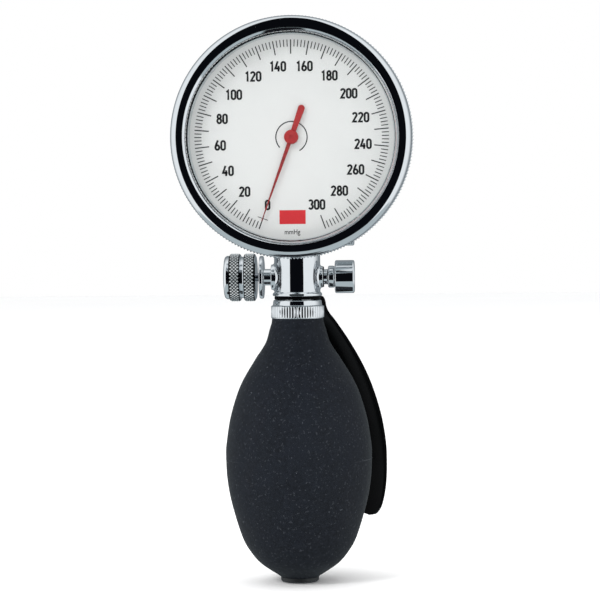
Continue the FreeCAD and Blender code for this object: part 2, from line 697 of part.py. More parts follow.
def make_plates():
    """The movement's two plates, the pillars between them and the screws and feet that hold them."""
    base = d("base_plate_back")
    thickness = d("plate_thickness")
    high = d("top_plate_back")
    hole = d("pin_hole")
    plate = rod("base_disc", d("base_plate_radius"), base, base + thickness, GAUGE)
    low_lug = block("low_lug", (PIVOT[0] - 1.2, -2.5, 14.0), (PIVOT[0] + 1.2, -1.5, base), GAUGE)
    high_lug = block("high_lug", (PIVOT[0] - 1.2, 21.0, 14.0), (PIVOT[0] + 1.2, 22.0, base), GAUGE)
    at_pivot = along_gauge(*PIVOT)
    slot_low = (PIVOT[0] - 2.2, PIVOT[1] + 2.0, base - 1)
    slot_high = (PIVOT[0] + 1.2, PIVOT[1] + 3.6, base + 2)
    base_cuts = [
        rod("rocker_bearings", hole, -3.0, 23.0, rocker_line()),
        rod("pinion_bearing", d("arbor_radius") + 0.05, base - 1, base + 2, GAUGE),
        rod("sector_bearing", hole, base - 1, base + 2, at_pivot),
        block("fork_slot", slot_low, slot_high, GAUGE),
    ]
    pillar_spots = [(-12.6, 20.4), (2.4, 21.2), (2.1, -7.4)]
    foot_spots = [(21.0 * math.cos(math.radians(a)), 21.0 * math.sin(math.radians(a))) for a in (-150, -30, 40)]
    for x, y in pillar_spots + foot_spots:
        base_cuts.append(rod("screw_hole", d("screw_hole"), base - 1, base + 2, along_gauge(x, y)))
    keep(cut(fuse([plate, low_lug, high_lug], "base_blank"), base_cuts, "base_plate"), "base_plate")
    top = block("top_blank", (-14.2, -9.2, high), (5.0, 23.0, high + thickness), GAUGE)
    top_cuts = [
        rod("pinion_bearing_front", d("arbor_radius") + 0.05, high - 1, high + 2, GAUGE),
        rod("sector_bearing_front", hole, high - 1, high + 2, at_pivot),
    ]
    for x, y in pillar_spots:
        top_cuts.append(rod("screw_hole", d("screw_hole"), high - 1, high + 2, along_gauge(x, y)))
    keep(cut(top, top_cuts, "top_plate"), "top_plate")
    pillars = []
    screws = []
    for x, y in pillar_spots:
        spot = along_gauge(x, y)
        pillars.append(turning("pillar", sleeve(0.5, 1.1, base + thickness, high), spot))
        screws.append(turning("plate_screw", [(0, high - 1.6), (0.5, high - 1.6), (0.5, high + thickness),
                                              (1.0, high + thickness), (1.0, high + thickness + 0.7),
                                              (0, high + thickness + 0.7)], spot))
    group(pillars, "movement_pillars")
    group(screws, "movement_screws")
    feet = []
    foot_screws = []
    for x, y in foot_spots:
        spot = along_gauge(x, y)
        feet.append(turning("foot", sleeve(0.5, 1.6, d("case_floor"), base), spot))
        foot_screws.append(turning("foot_screw", [(0, base - 4.0), (0.5, base - 4.0), (0.5, base + thickness),
                                                  (1.1, base + thickness), (1.1, base + thickness + 0.7),
                                                  (0, base + thickness + 0.7)], spot))
    group(feet, "movement_feet")
    group(foot_screws, "foot_screws")


def make_hairspring():
    """A flat spiral round the pinion's collet, and the stud that pins its outer end to the top plate."""
    turns = 4.5
    inner = 1.25
    outer = 5.2
    half_strip = 0.06
    steps = 90

    def side(offset):
        points = []
        for index in range(steps + 1):
            share = index / steps
            reach = inner + (outer - inner) * share + offset
            angle = 2 * math.pi * turns * share
            points.append(FreeCAD.Vector(reach * math.cos(angle), reach * math.sin(angle), 19.5))
        curve = Part.BSplineCurve()
        curve.interpolate(points)
        return points, curve.toShape()

    out_points, out_edge = side(half_strip)
    in_points, in_edge = side(-half_strip)
    ends = [Part.LineSegment(out_points[0], in_points[0]).toShape(),
            Part.LineSegment(out_points[-1], in_points[-1]).toShape()]
    face = Part.Face(Part.Wire(Part.__sortEdges__([out_edge, in_edge] + ends)))
    free_shape("hairspring", face.extrude(FreeCAD.Vector(0, 0, 0.6)), GAUGE)
    end_angle = 2 * math.pi * turns
    stud_reach = outer + half_strip + 0.45
    stud_spot = along_gauge(stud_reach * math.cos(end_angle), stud_reach * math.sin(end_angle))
    keep(rod("hairspring_stud", 0.45, 19.4, d("top_plate_back"), stud_spot), "hairspring_stud")


def make_capsule():
    """The corrugated pressure capsule: two shallow shells on the union, and the post that it lifts."""
    rim = d("capsule_radius")
    skin = 0.35
    start = 10.0
    middle = 11.6
    end = 13.2
    waves = [(13.0, 0.25), (10.0, -0.25), (7.0, 0.25), (4.0, 0.0)]
    rear = [(1.2, start), (4.5, start), (14.5, start + 0.3), (rim, middle - 0.4), (rim, middle)]
    rear += [(rim - skin, middle), (rim - skin, middle - 0.2), (14.2, start + 0.3 + skin), (4.5, start + skin),
             (1.2, start + skin)]
    turned("capsule_rear_shell", rear, GAUGE)
    front = [(rim, middle), (rim, middle + 0.4), (14.5, end - 0.3)]
    front += [(r, end - 0.3 + wave) for r, wave in waves] + [(2.0, end), (0, end), (0, end - skin), (2.0, end - skin)]
    front += [(r, end - 0.3 + wave - skin) for r, wave in reversed(waves)]
    front += [(14.2, end - 0.3 - skin), (rim - skin, middle + 0.2), (rim - skin, middle)]
    turned("capsule_front_shell", front, GAUGE)
    turned("capsule_post", [(0, end + 0.02), (1.4, end + 0.02), (1.4, end + 0.5), (0.7, end + 0.8),
                            (0.7, 14.55), (0, 14.55)], GAUGE)


def make_pointer():
    """The pointer: a tapered blade with a round tail, resting at zero, and its hub cap."""
    reach = number(d("pointer_reach"))
    tail = number(d("pointer_tail"))
    half_tail = 1.0
    arc = []
    for step in range(9):
        angle = math.pi / 2 + math.pi * step / 8
        arc.append((-tail + half_tail + half_tail * math.cos(angle), half_tail * math.sin(angle)))
    outline = [(reach, 0.12), (0.0, 1.1)] + arc + [(0.0, -1.1), (reach, -0.12)]
    hole = Part.makeCylinder(number(d("arbor_radius")), 3, FreeCAD.Vector(0, 0, 23))
    blade = extruded(outline, 24.1, 24.4).cut(hole)
    aim = FreeCAD.Placement(FreeCAD.Vector(), FreeCAD.Rotation(FreeCAD.Vector(0, 0, 1), ZERO_ANGLE))
    free_shape("pointer", blade, GAUGE.multiply(aim))
    arbor = d("arbor_radius")
    turned("pointer_hub", [(arbor, 24.4), (2.1, 24.4), (2.1, 25.2), (0, 25.2), (0, 24.9), (arbor, 24.9)], GAUGE,
           rounds=[(2.1, 25.2, 0.35)])


make_valve_body()
make_connector("lower_connector", HOSE)
make_connector("upper_connector", UPPER_HOSE)
make_connector_seals()
make_bleed_valve()
make_spigot()
make_bulb_valves()
make_bulb()
make_ring_nut()
make_spoon()
make_gauge_case()
make_bezel()
make_window()
make_gears()
make_rocking_shaft()
make_plates()
make_hairspring()
make_capsule()
make_pointer()
doc.recompute()

failed = [item.Label for item in doc.Objects if {"Invalid", "Error"} & set(item.State)]
bad_shapes = [item.Label for item in subparts if item.Shape.isNull() or not item.Shape.isValid()]
if failed or bad_shapes:
    raise SystemExit(f"failed objects: {failed}; bad shapes: {bad_shapes}")

os.makedirs("parts", exist_ok=True)
for item in subparts:
    item.Shape.exportStep(os.path.join("parts", f"{item.Label}.step"))
print(f"{len(subparts)} sub-parts")
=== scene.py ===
"""Looks of the hand unit of an aneroid blood pressure monitor.

The rubber bulb hangs round the origin, the valve body rises from it along +Z, the dial faces -Y, the bleed knob
points to -X and the hose connectors to +X. Sizes are in millimetres until a mesh is made, and angles in degrees.
"""

import json
import math

import bmesh
import bpy
from mathutils import Matrix, Vector


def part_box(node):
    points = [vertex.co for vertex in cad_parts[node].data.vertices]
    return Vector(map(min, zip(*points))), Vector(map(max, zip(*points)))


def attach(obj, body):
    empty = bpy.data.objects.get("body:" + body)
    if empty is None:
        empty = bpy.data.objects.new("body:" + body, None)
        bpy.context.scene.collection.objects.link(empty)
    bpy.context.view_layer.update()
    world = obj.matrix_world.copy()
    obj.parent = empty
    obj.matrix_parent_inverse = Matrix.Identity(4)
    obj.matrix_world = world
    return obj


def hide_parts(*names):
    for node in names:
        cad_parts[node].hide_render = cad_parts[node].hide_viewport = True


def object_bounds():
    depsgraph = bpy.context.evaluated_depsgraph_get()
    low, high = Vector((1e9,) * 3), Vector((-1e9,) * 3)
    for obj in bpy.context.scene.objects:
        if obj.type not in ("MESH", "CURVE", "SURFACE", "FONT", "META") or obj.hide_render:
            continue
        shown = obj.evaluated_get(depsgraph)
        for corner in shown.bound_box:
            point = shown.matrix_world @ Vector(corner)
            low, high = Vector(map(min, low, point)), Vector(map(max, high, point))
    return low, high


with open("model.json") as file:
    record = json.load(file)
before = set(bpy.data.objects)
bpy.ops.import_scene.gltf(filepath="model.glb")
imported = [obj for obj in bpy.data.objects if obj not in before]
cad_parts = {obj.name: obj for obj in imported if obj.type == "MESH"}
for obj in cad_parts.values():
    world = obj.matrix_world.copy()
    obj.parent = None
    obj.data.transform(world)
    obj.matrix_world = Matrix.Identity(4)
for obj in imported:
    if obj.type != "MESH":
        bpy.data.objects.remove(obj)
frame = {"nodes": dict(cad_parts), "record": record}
cad_low, cad_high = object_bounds()

MM = 0.001
TURN = 2 * math.pi
MOULD_LINE = -1.0


# ---------------------------------------------------------------- shader sockets as numbers

class Wire:
    """An output socket of a finish, so that shader maths reads as plain arithmetic."""

    def __init__(self, finish, socket):
        self.finish = finish
        self.socket = socket

    def maths(self, operation, first, second):
        return self.finish.node("ShaderNodeMath", {"operation": operation}, inputs={0: first, 1: second})

    def __add__(self, other):
        return self.maths("ADD", self, other)

    def __sub__(self, other):
        return self.maths("SUBTRACT", self, other)

    def __rsub__(self, other):
        return self.maths("SUBTRACT", other, self)

    def __mul__(self, other):
        return self.maths("MULTIPLY", self, other)

    def __truediv__(self, other):
        return self.maths("DIVIDE", self, other)

    def __pow__(self, other):
        return self.maths("POWER", self, other)

    def size(self):
        return self.maths("ABSOLUTE", self, 0.0)

    __radd__ = __add__
    __rmul__ = __mul__


class Finish:
    """A material or world whose nodes all come from one method."""

    def __init__(self, owner):
        owner.use_nodes = True
        self.owner = owner
        self.tree = owner.node_tree
        self.tree.nodes.clear()

    def node(self, kind, settings=None, inputs=None, out=0):
        """Adds a node: its settings first, then the values or links of its sockets, then the output that is read."""
        made = self.tree.nodes.new(kind)
        for key, value in (settings or {}).items():
            if key == "stops":
                self.set_stops(made.color_ramp, value)
            else:
                setattr(made, key, value)
        for key, value in (inputs or {}).items():
            socket = made.inputs[key] if isinstance(key, int) else self.named(made.inputs, key)
            if isinstance(value, Wire):
                self.tree.links.new(value.socket, socket)
            else:
                socket.default_value = value
        if out is None:
            return None
        return Wire(self, made.outputs[out] if isinstance(out, int) else self.named(made.outputs, out))

    @staticmethod
    def named(group, key):
        for socket in group:
            if socket.identifier == key:
                return socket
        return group[key]

    @staticmethod
    def set_stops(ramp, stops):
        while len(ramp.elements) < len(stops):
            ramp.elements.new(0.5)
        for element, (place, colour) in zip(ramp.elements, stops):
            element.position = place
            element.color = (*colour, 1.0)

    def place(self):
        return self.node("ShaderNodeTexCoord", out="Object")

    def noise(self, scale, detail=3.0, roughness=0.5, vector=None):
        return self.node("ShaderNodeTexNoise", inputs={
            "Vector": vector or self.place(), "Scale": scale, "Detail": detail, "Roughness": roughness})

    def stretched(self, x, y, z):
        """The place on the piece with its axes scaled, so that a texture can run lengthways."""
        return self.node("ShaderNodeVectorMath", {"operation": "MULTIPLY"}, {0: self.place(), 1: (x, y, z)})

    def ramp(self, factor, *stops):
        return self.node("ShaderNodeValToRGB", {"stops": stops}, {"Fac": factor})

    def mix(self, factor, first, second):
        return self.node("ShaderNodeMix", {"data_type": "RGBA"}, {
            "Factor_Float": factor, "A_Color": tint(first), "B_Color": tint(second)}, "Result_Color")

    def fade(self, value, low, high):
        """0 at low, 1 at high, and smooth between them."""
        return self.node("ShaderNodeMapRange", {"interpolation_type": "SMOOTHSTEP"}, {
            "Value": value, "From Min": low, "From Max": high})

    def bump(self, height, strength, distance):
        return self.node("ShaderNodeBump", inputs={"Height": height, "Strength": strength, "Distance": distance})

    def shade(self, **inputs):
        """A Principled shader with the inputs named in words joined by underscores."""
        return self.node("ShaderNodeBsdfPrincipled", inputs={
            key.replace("_", " "): tint(value) for key, value in inputs.items()})

    def show(self, shader):
        kind = "ShaderNodeOutputWorld" if isinstance(self.owner, bpy.types.World) else "ShaderNodeOutputMaterial"
        self.node(kind, inputs={"Surface": shader}, out=None)
        return self.owner


def tint(value):
    """A colour of three numbers gets its alpha; anything else stays."""
    return (*value, 1.0) if isinstance(value, tuple) and len(value) == 3 else value


def new_finish(name):
    return Finish(bpy.data.materials.new(name))


# ---------------------------------------------------------------- finishes

def polished_plate(name, colour=(0.83, 0.845, 0.86), roughness=0.035, haze=0.05):
    """Bright plating: wiping haze, the soft waviness that buffing leaves, and a few fine specks of dust."""
    f = new_finish(name)
    haze_map = f.noise(140.0, 4.0, 0.6)
    wipes = f.noise(60.0, 3.0, 0.55, f.stretched(1.0, 1.0, 9.0))
    dust = f.fade(f.noise(2600.0, 2.0, 0.5), 0.76, 0.8)
    rough = roughness + haze * f.fade(haze_map * wipes, 0.24, 0.42) + dust * 0.25
    shade = f.mix(dust * 0.5, f.mix(f.fade(haze_map, 0.35, 0.7), colour, tuple(c * 0.965 for c in colour)),
                  (0.62, 0.62, 0.6))
    waviness = f.bump(f.noise(220.0, 2.0, 0.4), 0.06, 0.0002)
    return f.show(f.shade(Base_Color=shade, Metallic=1.0, Roughness=rough, Normal=waviness))


def knurled_plate(name, colour, axis_height, low, high):
    """Bright plating on a knurl about the X axis: bright on the diamond tips, with painted shade darkening the
    rolled grooves.
    """
    f = new_finish(name)
    y, z = (f.node("ShaderNodeSeparateXYZ", inputs={"Vector": f.place()}, out=axis) for axis in "YZ")
    rise = z - axis_height * MM
    groove_shade = 1 - f.fade((y * y + rise * rise) ** 0.5, low * MM, high * MM)
    grime = f.noise(900.0, 3.0, 0.6)
    # painted shade: the base colour goes near black down in the grooves, where the recesses fall into shadow
    shade = f.mix(groove_shade, colour, (0.006, 0.007, 0.008))
    rough = 0.3 + groove_shade * 0.2 + grime * 0.1
    return f.show(f.shade(Base_Color=shade, Metallic=1.0, Roughness=rough, Normal=f.bump(grime, 0.08, 0.0001)))


def brushed_metal(name, colour, roughness=0.32):
    """Turned or rolled metal with fine lines."""
    f = new_finish(name)
    lines = f.noise(90.0, 5.0, 0.7, f.stretched(1.0, 1.0, 40.0))
    cloud = f.noise(70.0, 3.0, 0.5)
    shade = f.mix(f.fade(cloud, 0.35, 0.7), colour, tuple(c * 0.86 for c in colour))
    rough = (roughness - 0.06) + lines * 0.14
    return f.show(f.shade(Base_Color=shade, Metallic=1.0, Roughness=rough, Normal=f.bump(lines, 0.12, 0.0001)))


def moulded_rubber(name, colour, speckle, seam_height=None):
    """Matt rubber with talc in its pores: a fine grain, pale specks and, at the bulb's two sides, its mould line."""
    f = new_finish(name)
    grain = f.noise(900.0, 4.0, 0.65)
    mottle = f.noise(160.0, 3.0, 0.6)
    cloud = f.noise(38.0, 2.0, 0.5)
    specks = f.fade(f.noise(1500.0, 1.0, 0.5), 0.62, 0.74)
    bright_specks = f.fade(f.noise(640.0, 1.0, 0.4), 0.772, 0.8)
    base = f.mix(f.fade(grain, 0.3, 0.7), tuple(c * 0.8 for c in colour), tuple(c * 1.25 for c in colour))
    base = f.mix(f.fade(cloud * mottle, 0.18, 0.36) * 0.5, base, tuple(c * 1.3 for c in colour))
    base = f.mix(specks * 0.42, base, speckle)
    base = f.mix(bright_specks * 0.45, base, tuple(c * 1.7 for c in speckle))
    height = grain + specks * 0.5
    if seam_height is not None:
        up = f.node("ShaderNodeSeparateXYZ", inputs={"Vector": f.place()}, out="Z")
        distance = (up - seam_height * MM).size()
        side = f.node("ShaderNodeSeparateXYZ", inputs={"Vector": f.place()}, out="X").size()
        broken = f.fade(f.noise(260.0, 2.0, 0.6), 0.42, 0.56) * f.fade(side, 0.0155, 0.0205)
        seam = (1 - f.fade(distance, 0.00008, 0.00026)) * broken
        base = f.mix(seam * 0.35, base, speckle)
        height = height + seam * 1.5
    rough = 0.62 + f.fade(mottle, 0.3, 0.7) * 0.16 - bright_specks * 0.1
    return f.show(f.shade(
        Base_Color=base, Roughness=rough, Specular_IOR_Level=0.16, Sheen_Weight=0.06, Sheen_Roughness=0.35,
        Sheen_Tint=(0.72, 0.8, 0.78), Normal=f.bump(height, 0.35, 0.00012)))


def stoved_enamel(name):
    """Deep black enamel over pressed steel, with a trace of orange peel, smears and dust."""
    f = new_finish(name)
    peel = f.noise(340.0, 2.0, 0.5)
    smear = f.fade(f.noise(45.0, 4.0, 0.6), 0.45, 0.7)
    dust = f.fade(f.noise(2200.0, 1.0, 0.5), 0.74, 0.79)
    base = f.mix(dust * 0.1, (0.0012, 0.0013, 0.0015), (0.1, 0.1, 0.1))
    rough = 0.2 + smear * 0.12 + dust * 0.2
    return f.show(f.shade(
        Base_Color=base, Roughness=rough, Specular_IOR_Level=0.02, Coat_Weight=0.012, Coat_Roughness=0.12,
        Normal=f.bump(peel, 0.06, 0.0002)))


def printed_paint(name, colour, roughness=0.5):
    """Flat paint or ink with a faint tooth."""
    f = new_finish(name)
    tooth = f.noise(1500.0, 3.0, 0.6)
    cloud = f.noise(30.0, 2.0, 0.5)
    base = f.mix(f.fade(cloud, 0.35, 0.7), colour, tuple(c * 0.965 for c in colour))
    base = f.mix(f.fade(tooth, 0.5, 0.8) * 0.4, base, tuple(c * 0.93 for c in colour))
    rough = roughness + tooth * 0.12
    return f.show(f.shade(Base_Color=base, Roughness=rough, Specular_IOR_Level=0.35,
                          Normal=f.bump(tooth, 0.05, 0.00003)))


def pointer_lacquer(name, light, dark):
    """Red lacquer, mottled between two shades where it flowed."""
    f = new_finish(name)
    flow = f.noise(700.0, 3.0, 0.6)
    base = f.mix(f.fade(flow, 0.4, 0.75), light, dark)
    return f.show(f.shade(Base_Color=base, Roughness=0.34 + flow * 0.12, Coat_Weight=0.25, Coat_Roughness=0.15,
                          Normal=f.bump(flow, 0.05, 0.00005)))


def clear_crystal(name):
    """The flat window: see-through, with a faint surface reflection and hardly any dust."""
    f = new_finish(name)
    mirror = f.node("ShaderNodeFresnel", inputs={"IOR": 1.45})
    dust = f.fade(f.noise(1900.0, 1.0, 0.5), 0.77, 0.8)
    gloss = f.shade(Base_Color=(0.9, 0.93, 0.93), Metallic=1.0, Roughness=0.02 + dust * 0.3)
    clear = f.node("ShaderNodeBsdfTransparent", inputs={"Color": (0.975, 0.985, 0.982, 1.0)})
    return f.show(f.node("ShaderNodeMixShader", inputs={0: mirror * 0.4 + dust * 0.04, 1: clear, 2: gloss}))


def pressed_plastic(name, colour):
    """Moulded plastic with a fine eroded texture."""
    f = new_finish(name)
    grain = f.noise(1300.0, 4.0, 0.6)
    base = f.mix(f.fade(grain, 0.35, 0.7), colour, tuple(c * 1.5 for c in colour))
    return f.show(f.shade(Base_Color=base, Roughness=0.42 + grain * 0.2, Normal=f.bump(grain, 0.2, 0.00005)))


CHROME = polished_plate("chrome_plate")
SATIN_CHROME = polished_plate("satin_chrome", (0.66, 0.695, 0.72), 0.2, 0.08)
STEEL = brushed_metal("bright_steel", (0.62, 0.63, 0.64))
BRASS = brushed_metal("movement_brass", (0.72, 0.53, 0.24))
SPRING_STEEL = brushed_metal("movement_steel", (0.42, 0.44, 0.48), 0.28)
BULB_RUBBER = moulded_rubber("bulb_rubber", (0.0066, 0.0086, 0.0128), (0.05, 0.056, 0.066), MOULD_LINE)
SEAL_RUBBER = moulded_rubber("seal_rubber", (0.008, 0.008, 0.009), (0.02, 0.02, 0.02))
PLUG_PLASTIC = pressed_plastic("plug_plastic", (0.0055, 0.0065, 0.0075))
MESH_BRASS = brushed_metal("filter_mesh", (0.3, 0.25, 0.16), 0.4)
ENAMEL = stoved_enamel("black_enamel")
CRYSTAL = clear_crystal("crystal_glass")
DIAL_WHITE = printed_paint("dial_white", (0.7, 0.688, 0.69))
DIAL_INK = printed_paint("dial_ink", (0.014, 0.0145, 0.016), 0.55)
SCALE_INK = printed_paint("scale_ink", (0.03, 0.031, 0.034), 0.55)
DIAL_RED = printed_paint("dial_red", (0.6, 0.022, 0.03), 0.5)
POINTER_RED = pointer_lacquer("pointer_red", (0.4, 0.02, 0.022), (0.32, 0.015, 0.018))
POINTER_DARK = pointer_lacquer("pointer_dark", (0.33, 0.02, 0.022), (0.2, 0.013, 0.016))


# ---------------------------------------------------------------- frames of the turned pieces

def middle(node):
    low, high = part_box(node)
    return (Vector(low) + Vector(high)) / 2 / MM


def out_of_port(up, side):
    """+Z of the piece points out of the valve body's side: side 1 is the hose side, -1 the knob side."""
    return Matrix.Translation((0, 0, up)) @ Matrix.Rotation(math.radians(90 * side), 4, "Y")


gauge_up = middle("crystal").z
port_up = middle("bleed_knob").z
UPRIGHT = Matrix.Identity(4)
GAUGE = Matrix.Translation((0, 0, gauge_up)) @ Matrix.Rotation(math.radians(90), 4, "X")
BLEED = out_of_port(port_up, -1)
HOSES = {"lower": out_of_port(port_up, 1), "upper": out_of_port(middle("upper_connector_sleeve").z, 1)}


# ---------------------------------------------------------------- outlines and meshes

def eased(*corners, steps=5):
    """An outline of (radius, height) corners; a third number rounds that corner with an arc of that radius."""
    outline = []
    for index, corner in enumerate(corners):
        spot = Vector(corner[:2])
        if len(corner) < 3:
            outline.append(tuple(spot))
            continue
        size = corner[2]
        back = (Vector(corners[index - 1][:2]) - spot).normalized()
        ahead = (Vector(corners[(index + 1) % len(corners)][:2]) - spot).normalized()
        spread = back.angle(ahead)
        centre = spot + (back + ahead).normalized() * size / math.sin(spread / 2)
        start = spot + back * size / math.tan(spread / 2) - centre
        end = spot + ahead * size / math.tan(spread / 2) - centre
        first = math.atan2(start.y, start.x)
        sweep = (math.atan2(end.y, end.x) - first + math.pi) % TURN - math.pi
        for step in range(steps + 1):
            angle = first + sweep * step / steps
            outline.append((centre.x + size * math.cos(angle), centre.y + size * math.sin(angle)))
    return outline


def flowing(knots, steps):
    """Points on a smooth curve through the knots."""
    points = []
    for index in range(len(knots) - 1):
        four = [Vector(knots[min(max(index + shift, 0), len(knots) - 1)]) for shift in (-1, 0, 1, 2)]
        for step in range(steps):
            t = step / steps
            points.append(0.5 * (2 * four[1] + (four[2] - four[0]) * t
                                 + (2 * four[0] - 5 * four[1] + 4 * four[2] - four[3]) * t ** 2
                                 + (3 * four[1] - four[0] - 3 * four[2] + four[3]) * t ** 3))
    return points + [Vector(knots[-1])]


def bridge(bm, rings, closed=False):
    """Faces between neighbouring rings of vertices; a ring of one vertex is a pole."""
    pairs = list(zip(rings, rings[1:])) + ([(rings[-1], rings[0])] if closed else [])
    for one, other in pairs:
        count = max(len(one), len(other))
        for step in range(count):
            after = (step + 1) % count
            corners = [one[step % len(one)], one[after % len(one)],
                       other[after % len(other)], other[step % len(other)]]
            distinct = list(dict.fromkeys(corners))
            if len(distinct) > 2:
                bm.faces.new(distinct)


def turn(bm, outline, placement=UPRIGHT, steps=128, relief=None, closed=True):
    """Turns an outline about the placement's Z axis. relief(radius, height, share of a turn) adds to the radius."""
    rings = []
    for radius, height in outline:
        if radius < 1e-6:
            rings.append([bm.verts.new(placement @ Vector((0, 0, height)))])
            continue
        ring = []
        for step in range(steps):
            angle = TURN * step / steps
            reach = radius + (relief(radius, height, step / steps) if relief else 0.0)
            ring.append(bm.verts.new(placement @ Vector((reach * math.cos(angle), reach * math.sin(angle), height))))
        rings.append(ring)
    bridge(bm, rings, closed)


def piece(name, finish, body, build, replaces=(), slot=None, crease=32.0, even_corners=True):
    """Makes one named mesh in a maker's millimetres, smooth apart from its creases, that moves with its body."""
    bm = bmesh.new()
    build(bm)
    bmesh.ops.recalc_face_normals(bm, faces=bm.faces)
    mesh = bpy.data.meshes.new(name)
    bm.to_mesh(mesh)
    bm.free()
    mesh.transform(Matrix.Scale(MM, 4))
    mesh.shade_smooth()
    mesh.set_sharp_from_angle(angle=math.radians(crease))
    mesh.materials.append(finish)
    made = bpy.data.objects.new(name, mesh)
    bpy.context.scene.collection.objects.link(made)
    if even_corners:
        shading = made.modifiers.new("even_corners", "WEIGHTED_NORMAL")
        shading.keep_sharp = True
    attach(made, body)
    if replaces:
        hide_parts(*replaces)
    return made


def turned_piece(name, outline, placement, finish, body="hand_unit", steps=128, relief=None, closed=True, **facts):
    return piece(name, finish, body, lambda bm: turn(bm, outline, placement, steps, relief, closed), **facts)


def slab(bm, outline, low, high, placement=GAUGE, ease=0.0):
    """A flat plate with that outline, its front edge eased back a little."""
    count = len(outline)
    inner = []
    for index in range(count):
        here = Vector(outline[index])
        back = (Vector(outline[index - 1]) - here).normalized()
        ahead = (Vector(outline[(index + 1) % count]) - here).normalized()
        normal = Vector((-ahead.y, ahead.x)) + Vector((back.y, -back.x))
        inner.append(here + normal.normalized() * ease)
    rows = [[(spot, low) for spot in outline], [(spot, high - ease) for spot in outline]]
    if ease:
        rows.append([(tuple(spot), high) for spot in inner])
    rings = [[bm.verts.new(placement @ Vector((*spot, level))) for spot, level in row] for row in rows]
    bridge(bm, rings)
    bm.faces.new(rings[0])
    bm.faces.new(rings[-1])


# ---------------------------------------------------------------- valve body, connectors, bleed valve

COLUMN = 7.0


def boss(bm, outward, up, radius, end, fillet):
    """A round boss out of the column, with a soft fillet that follows the column's curve."""
    outward = Vector(outward)
    across = Vector((outward.y, -outward.x, 0))

    def ring(reach_at, size, steps=72):
        made = []
        for step in range(steps):
            angle = TURN * step / steps
            sideways, rise = size * math.cos(angle), size * math.sin(angle)
            spot = outward * reach_at(sideways) + across * sideways + Vector((0, 0, up + rise))
            made.append(bm.verts.new(spot))
        return made

    def column_face(sideways):
        return math.sqrt(max(COLUMN ** 2 - sideways ** 2, 0.0))

    rings = [[bm.verts.new(outward * end + Vector((0, 0, up)))]]
    rings.append(ring(lambda y: end, radius - 0.3))
    rings.append(ring(lambda y: end - 0.09, radius - 0.09))
    rings.append(ring(lambda y: end - 0.3, radius))
    for step in range(6):
        t = step / 5
        near, turned_out = (1 - t) ** 2, t ** 2
        size = radius + fillet * turned_out
        rings.append(ring(lambda y: column_face(y) + fillet * near - 0.01, size))
    rings.append([bm.verts.new(Vector((0, 0, up)))])
    bridge(bm, rings)


def make_body_casting(bm):
    turn(bm, eased((0, 48.4), (COLUMN + 0.5, 48.4, 0.2), (COLUMN + 0.5, 49.1, 0.25), (COLUMN, 49.6, 0.3),
                   (COLUMN, 103.6, 4.0), (0, 103.6), steps=8), steps=160, closed=False)
    boss(bm, (-1, 0, 0), port_up, 3.8, 7.5 + 0.45, 0.9)
    boss(bm, (1, 0, 0), port_up, 3.2, 7.5 + 0.45, 0.9)
    boss(bm, (1, 0, 0), middle("upper_connector_sleeve").z, 3.2, 7.5 + 0.45, 0.9)
    boss(bm, (0, -1, 0), gauge_up, 5.6, 7.5, 0.8)


piece("body_casting", CHROME, "hand_unit", make_body_casting, ["valve_body"], "chrome_plate")

for level, hose in HOSES.items():
    turned_piece(
        f"{level}_hose_stem",
        eased((1.2, 5.0), (2.3, 5.0), (2.3, 9.4, 0.35), (3.35, 9.4, 0.45), (3.35, 11.35, 0.45), (2.3, 11.4),
              (2.3, 12.6), (1.2, 12.6)),
        hose, CHROME, steps=96, replaces=[f"{level}_connector_stem"], slot="chrome_plate")
    turned_piece(
        f"{level}_hose_sleeve",
        eased((2.3, 11.5), (5.0, 11.5, 0.45), (5.0, 17.4, 0.5), (3.2, 17.4, 0.2), (3.2, 12.9, 0.3), (2.3, 12.9)),
        hose, CHROME, steps=128, replaces=[f"{level}_connector_sleeve"], slot="chrome_plate")

turned_piece(
    "bleed_flange",
    eased((1.35, 6.0), (2.5, 6.0), (2.5, 10.2, 0.25), (6.5, 10.2, 0.35), (6.5, 11.4, 0.35), (2.1, 11.4, 0.1),
          (2.1, 10.9), (1.35, 10.9)),
    BLEED, CHROME, replaces=["bleed_bush"], slot="chrome_plate")

KNURL_BANDS = ((12.75, 15.95), (17.25, 20.35))
KNOB = 7.3
WAIST = 6.3


KNURL_DEPTH = 0.3
KNURL_AROUND = 80
KNURL_HALF_PITCH = 0.53
UNDER_KNURL = KNOB - 0.32
KNURLED_CHROME = knurled_plate("knurled_chrome", (0.86, 0.875, 0.87), port_up, KNOB - 0.27, KNOB - 0.17)


def make_knurling(bm):
    """Two bands of pyramids between crossing grooves, as a knurling tool rolls them."""
    for low, high in KNURL_BANDS:
        rows = round((high - low) / KNURL_HALF_PITCH)
        grid = []
        for row in range(rows + 1):
            ring = []
            for column in range(KNURL_AROUND):
                raised = (row + column) % 2 and 0 < row < rows
                reach = KNOB if raised else KNOB - KNURL_DEPTH
                angle = TURN * column / KNURL_AROUND
                spot = Vector((reach * math.cos(angle), reach * math.sin(angle), low + (high - low) * row / rows))
                ring.append(bm.verts.new(BLEED @ spot))
            grid.append(ring)
        for row in range(rows):
            for column in range(KNURL_AROUND):
                after = (column + 1) % KNURL_AROUND
                corners = [grid[row][column], grid[row][after], grid[row + 1][after], grid[row + 1][column]]
                if (row + column) % 2:
                    corners = corners[1:] + corners[:1]
                bm.faces.new((corners[0], corners[1], corners[2]))
                bm.faces.new((corners[0], corners[2], corners[3]))


def knob_outline():
    corners = [(1.25, 12.4), (WAIST, 12.4, 0.12)]
    for low, high in KNURL_BANDS:
        corners += [(UNDER_KNURL, low - 0.02), (UNDER_KNURL, high + 0.02),
                    (WAIST, high + 0.32), (WAIST, high + 0.95)]
    return eased(*corners[:-2], (WAIST, 20.6, 0.1), (5.2, 20.6), (5.2, 18.6), (1.25, 18.6))


